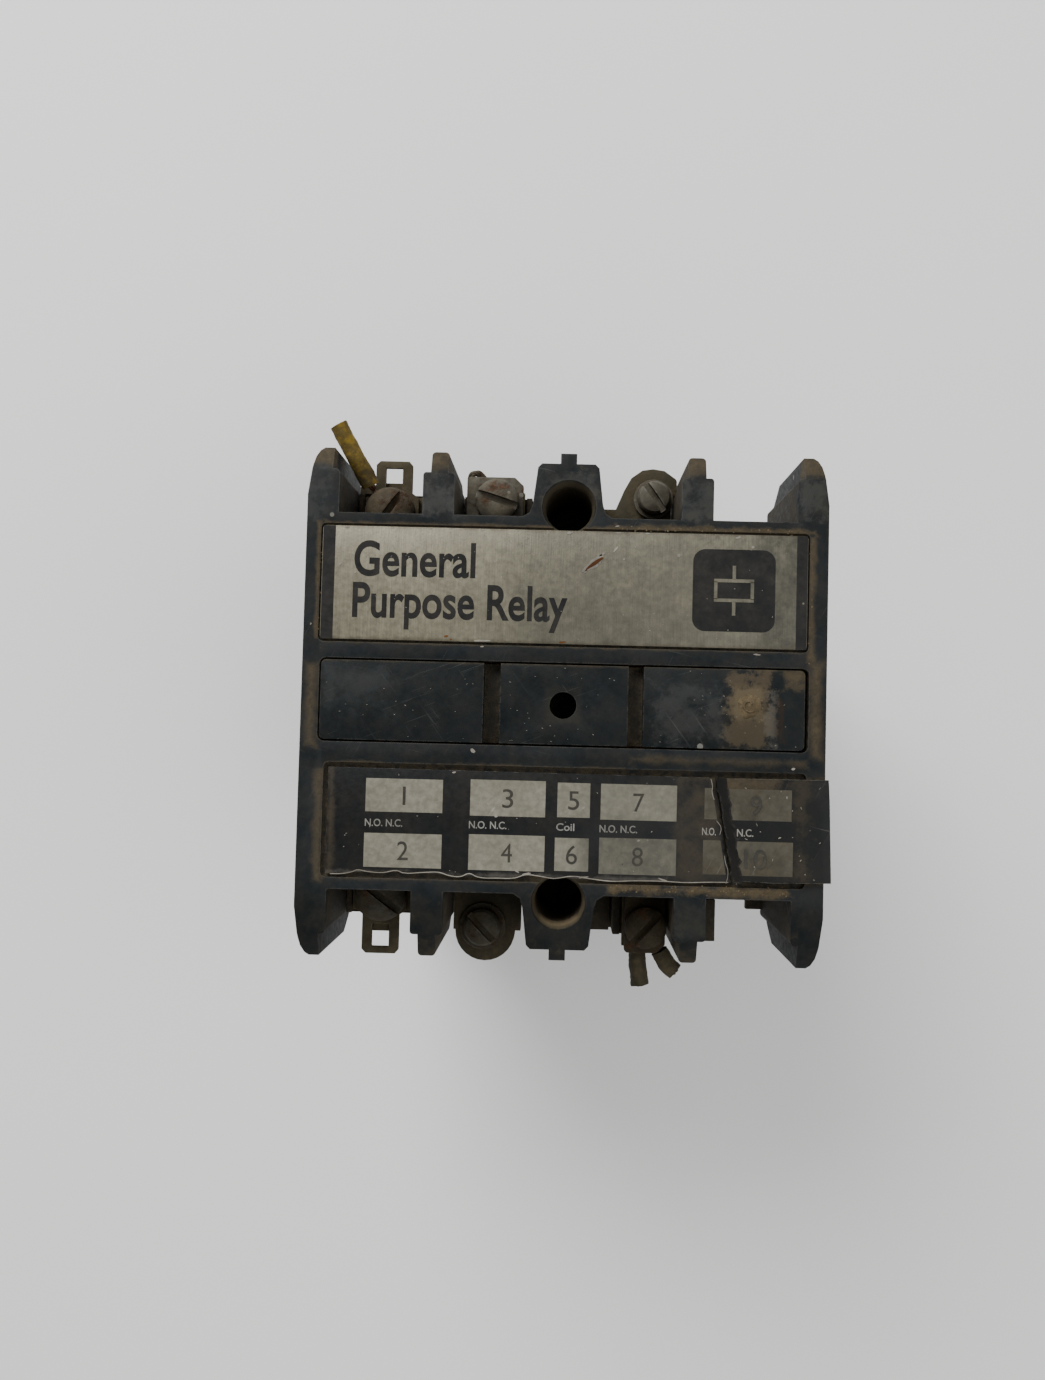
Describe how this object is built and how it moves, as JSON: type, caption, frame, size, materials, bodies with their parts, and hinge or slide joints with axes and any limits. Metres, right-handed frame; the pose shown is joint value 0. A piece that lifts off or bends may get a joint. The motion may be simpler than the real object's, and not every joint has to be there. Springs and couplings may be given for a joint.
{
  "type": "industrial control relay",
  "caption": "Machine-tool control relay with a ribbed moulded housing, screw terminals in side bays, a sliding contact carrier and an enclosed solenoid.",
  "frame": {"origin": "centre of the mounting face, on the back of the base plate", "axes": "+X across the poles towards the pole that is not fitted, +Y towards the odd-numbered terminals, +Z out of the mounting panel towards the user"},
  "size_m": [0.085, 0.0941, 0.0767],
  "materials": {
    "phenolic": "moulded, dusty",
    "carrier": "moulded, worn",
    "dark_phenolic": "moulded",
    "coil_resin": "cast resin, dusty",
    "steel": "zinc plated, dull and corroded",
    "spring_steel": "drawn wire",
    "core_steel": "laminated, oiled",
    "plate_steel": "zinc plated",
    "brass": "tarnished",
    "copper": "tarnished copper",
    "nameplate": "brushed, scratched",
    "label": "printed film",
    "wire_yellow": "aged vinyl",
    "wire_olive": "aged vinyl, dusty",
    "rubber": "moulded"
  },
  "bodies": {
    "frame": {"front_housing": "phenolic", "nameplate": "nameplate", "rating_label": "label", "rating_label_torn_end": "label", "return_spring_left": "spring_steel", "return_spring_right": "spring_steel", "cartridge_1": "dark_phenolic", "cartridge_2": "dark_phenolic", "cartridge_3": "dark_phenolic", "cartridge_4": "dark_phenolic", "cartridge_7": "dark_phenolic", "cartridge_8": "dark_phenolic", "contact_strap_1": "brass", "contact_strap_2": "brass", "contact_strap_3": "brass", "contact_strap_4": "brass", "contact_strap_7": "brass", "contact_strap_8": "brass", "tab_1": "brass", "tab_2": "brass", "wire_1_insulation": "wire_yellow", "wire_1_core": "copper", "wire_8_left": "wire_olive", "wire_8_right": "wire_olive", "wire_3_strand": "copper", "coil": "coil_resin", "magnet_core": "core_steel", "shading_ring_left": "copper", "shading_ring_right": "copper", "core_pad_left": "rubber", "core_pad_right": "rubber", "magnet_housing": "phenolic", "base_plate": "plate_steel", "assembly_screw_top": "steel", "assembly_screw_bottom": "steel"},
    "carrier": {"contact_carrier": "carrier", "contact_spring_1": "spring_steel", "contact_spring_2": "spring_steel", "contact_spring_3": "spring_steel", "armature": "core_steel", "armature_pin": "steel"},
    "bridge_1": {"contact_bridge_1": "copper", "spring_seat_1": "dark_phenolic"},
    "bridge_2": {"contact_bridge_2": "copper", "spring_seat_2": "dark_phenolic"},
    "bridge_3": {"contact_bridge_3": "copper", "spring_seat_3": "dark_phenolic"},
    "clamp_1": {"terminal_washer_1": "steel"},
    "screw_1": {"terminal_screw_1": "steel"},
    "clamp_2": {"terminal_washer_2": "steel"},
    "screw_2": {"terminal_screw_2": "steel"},
    "clamp_3": {"clamp_plate_3": "steel"},
    "screw_3": {"terminal_screw_3": "steel"},
    "clamp_8": {"clamp_plate_8": "steel"},
    "screw_8": {"terminal_screw_8": "steel"},
    "clamp_5": {"coil_washer_5": "steel"},
    "screw_5": {"coil_screw_5": "steel"},
    "clamp_6": {"coil_washer_6": "steel"},
    "screw_6": {"coil_screw_6": "steel"}
  },
  "joints": [
    {"name": "carrier_slide", "type": "slide", "parent": "frame", "child": "carrier", "axis": [0, 0, -1], "range_m": [0, 0.004], "stiffness_N_per_m": 1500, "springref_m": -0.003, "deforming": ["return_spring_left", "return_spring_right"]},
    {"name": "bridge_1_overtravel", "type": "slide", "parent": "carrier", "child": "bridge_1", "axis": [0, 0, 1], "range_m": [0, 0.001], "deforming": ["contact_spring_1"]},
    {"name": "bridge_2_overtravel", "type": "slide", "parent": "carrier", "child": "bridge_2", "axis": [0, 0, 1], "range_m": [0, 0.001], "deforming": ["contact_spring_2"]},
    {"name": "bridge_3_overtravel", "type": "slide", "parent": "carrier", "child": "bridge_3", "axis": [0, 0, 1], "range_m": [0, 0.001], "deforming": ["contact_spring_3"]},
    {"name": "clamp_1_lift", "type": "slide", "parent": "frame", "child": "clamp_1", "axis": [0, 0, 1], "range_m": [0, 0.00238]},
    {"name": "screw_1_turn", "type": "hinge", "parent": "clamp_1", "child": "screw_1", "pos_m": [-0.0301, 0.032, 0.066], "axis": [0, 0, 1], "range_deg": [0, 1080]},
    {"name": "clamp_2_lift", "type": "slide", "parent": "frame", "child": "clamp_2", "axis": [0, 0, 1], "range_m": [0, 0.00238]},
    {"name": "screw_2_turn", "type": "hinge", "parent": "clamp_2", "child": "screw_2", "pos_m": [-0.0298, -0.0326, 0.066], "axis": [0, 0, 1], "range_deg": [0, 1080]},
    {"name": "clamp_3_lift", "type": "slide", "parent": "frame", "child": "clamp_3", "axis": [0, 0, 1], "range_m": [0, 0.00238]},
    {"name": "screw_3_turn", "type": "hinge", "parent": "clamp_3", "child": "screw_3", "pos_m": [-0.012, 0.0343, 0.066], "axis": [0, 0, 1], "range_deg": [0, 1080]},
    {"name": "clamp_8_lift", "type": "slide", "parent": "frame", "child": "clamp_8", "axis": [0, 0, 1], "range_m": [0, 0.00238]},
    {"name": "screw_8_turn", "type": "hinge", "parent": "clamp_8", "child": "screw_8", "pos_m": [0.0146, -0.0364, 0.066], "axis": [0, 0, 1], "range_deg": [0, 1080]},
    {"name": "clamp_5_lift", "type": "slide", "parent": "frame", "child": "clamp_5", "axis": [0, 0, 1], "range_m": [0, 0.00238]},
    {"name": "screw_5_turn", "type": "hinge", "parent": "clamp_5", "child": "screw_5", "pos_m": [0.0149, 0.0366, 0.066], "axis": [0, 0, 1], "range_deg": [0, 1080]},
    {"name": "clamp_6_lift", "type": "slide", "parent": "frame", "child": "clamp_6", "axis": [0, 0, 1], "range_m": [0, 0.00238]},
    {"name": "screw_6_turn", "type": "hinge", "parent": "clamp_6", "child": "screw_6", "pos_m": [-0.0129, -0.0381, 0.066], "axis": [0, 0, 1], "range_deg": [0, 1080]}
  ],
  "couplings": [
    {"joint": "bridge_1_overtravel", "follows": "carrier_slide", "ratio": 0.25},
    {"joint": "bridge_2_overtravel", "follows": "carrier_slide", "ratio": 0.25},
    {"joint": "bridge_3_overtravel", "follows": "carrier_slide", "ratio": 0.25},
    {"joint": "screw_1_turn", "follows": "clamp_1_lift", "rad_per_m": 7913.3},
    {"joint": "screw_2_turn", "follows": "clamp_2_lift", "rad_per_m": 7913.3},
    {"joint": "screw_3_turn", "follows": "clamp_3_lift", "rad_per_m": 7913.3},
    {"joint": "screw_8_turn", "follows": "clamp_8_lift", "rad_per_m": 7913.3},
    {"joint": "screw_5_turn", "follows": "clamp_5_lift", "rad_per_m": 7913.3},
    {"joint": "screw_6_turn", "follows": "clamp_6_lift", "rad_per_m": 7913.3}
  ]
}
